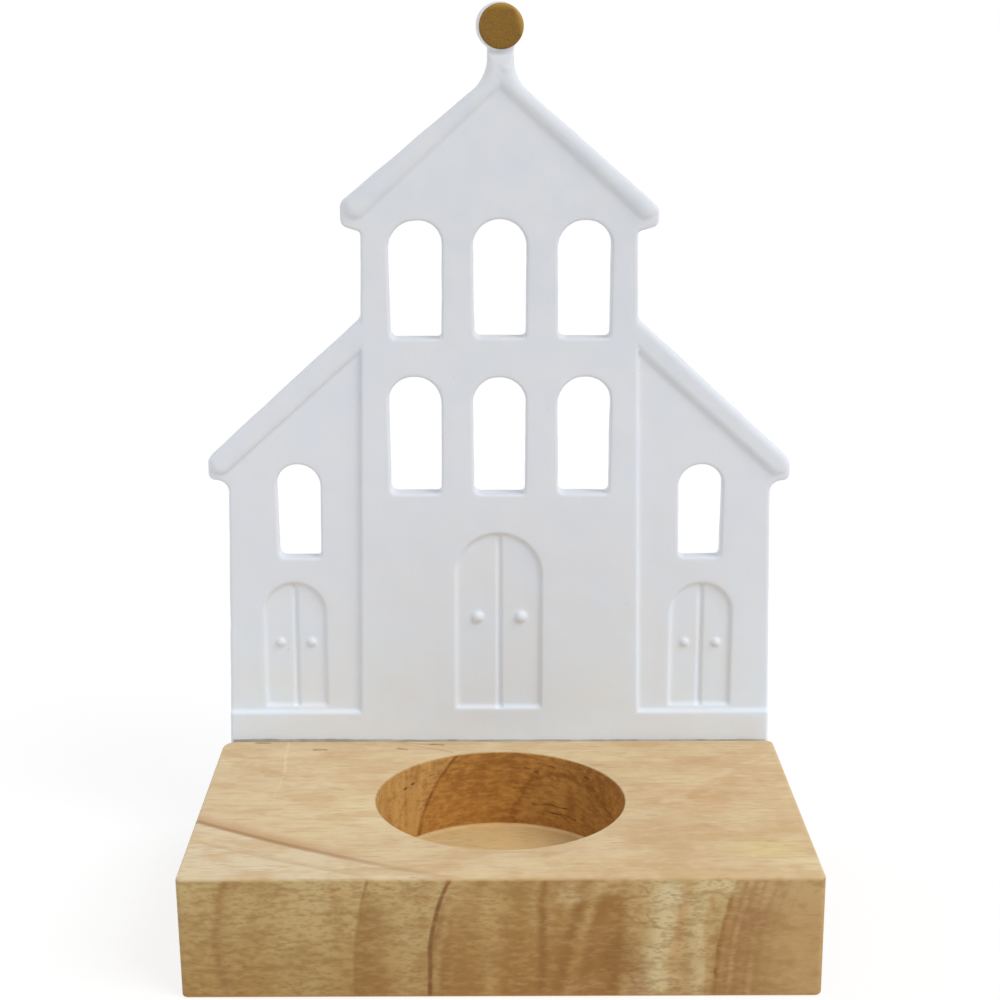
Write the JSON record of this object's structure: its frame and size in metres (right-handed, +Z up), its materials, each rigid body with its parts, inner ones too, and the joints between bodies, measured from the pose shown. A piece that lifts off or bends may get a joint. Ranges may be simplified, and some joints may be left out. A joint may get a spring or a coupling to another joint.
{
  "type": "tealight house",
  "caption": "Candle holder: a white porcelain house facade with open arched windows and a gold disc on top, glued behind a wood block with a round tealight pocket.",
  "frame": {"origin": "middle of the footprint, on the table", "axes": "+X to the right seen from the front, +Y to the back where the facade stands, +Z up"},
  "size_m": [0.1028, 0.0624, 0.1511],
  "materials": {
    "wood": "satin",
    "porcelain": "matt",
    "gold_paint": "satin",
    "glue": "matt"
  },
  "bodies": {
    "root": {"wood_block": "wood", "porcelain_facade": "porcelain", "finial_gold_coat": "gold_paint", "glue_film": "glue"}
  },
  "joints": []
}
